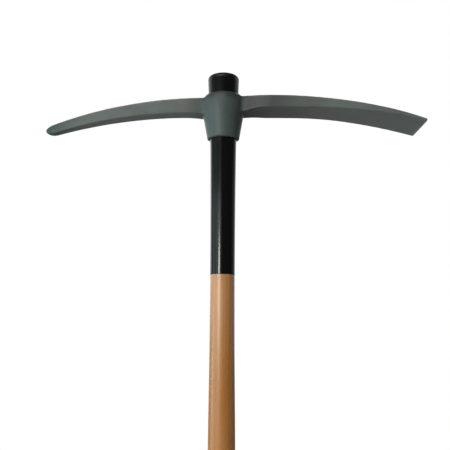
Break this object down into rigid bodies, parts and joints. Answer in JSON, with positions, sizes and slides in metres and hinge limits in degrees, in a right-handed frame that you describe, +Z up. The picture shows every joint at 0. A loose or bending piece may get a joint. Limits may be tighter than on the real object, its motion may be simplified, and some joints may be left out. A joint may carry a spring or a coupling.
{
  "type": "pickaxe",
  "caption": "Pickaxe for digging and breaking ground: forged steel head with a point and a cross blade, slipped over a turned wooden haft whose flared end jams in the tapered eye.",
  "frame": {"origin": "centre of the flat end of the butt", "axes": "+Z up along the haft to the head, +X along the blade, -X along the point, +Y across the head"},
  "size_m": [0.5268, 0.077, 0.9],
  "materials": {
    "head_paint": "satin dark grey paint on forged steel",
    "haft_wood": "beech with a clear gloss varnish",
    "black_lacquer": "gloss black dipped lacquer"
  },
  "bodies": {
    "haft": {"haft": "haft_wood", "dip_coat": "black_lacquer"},
    "head": {"pick_head": "head_paint"}
  },
  "joints": [
    {"name": "head_slide", "type": "slide", "parent": "haft", "child": "head", "axis": [0, 0, -1], "range_m": [0, 0.8]}
  ]
}
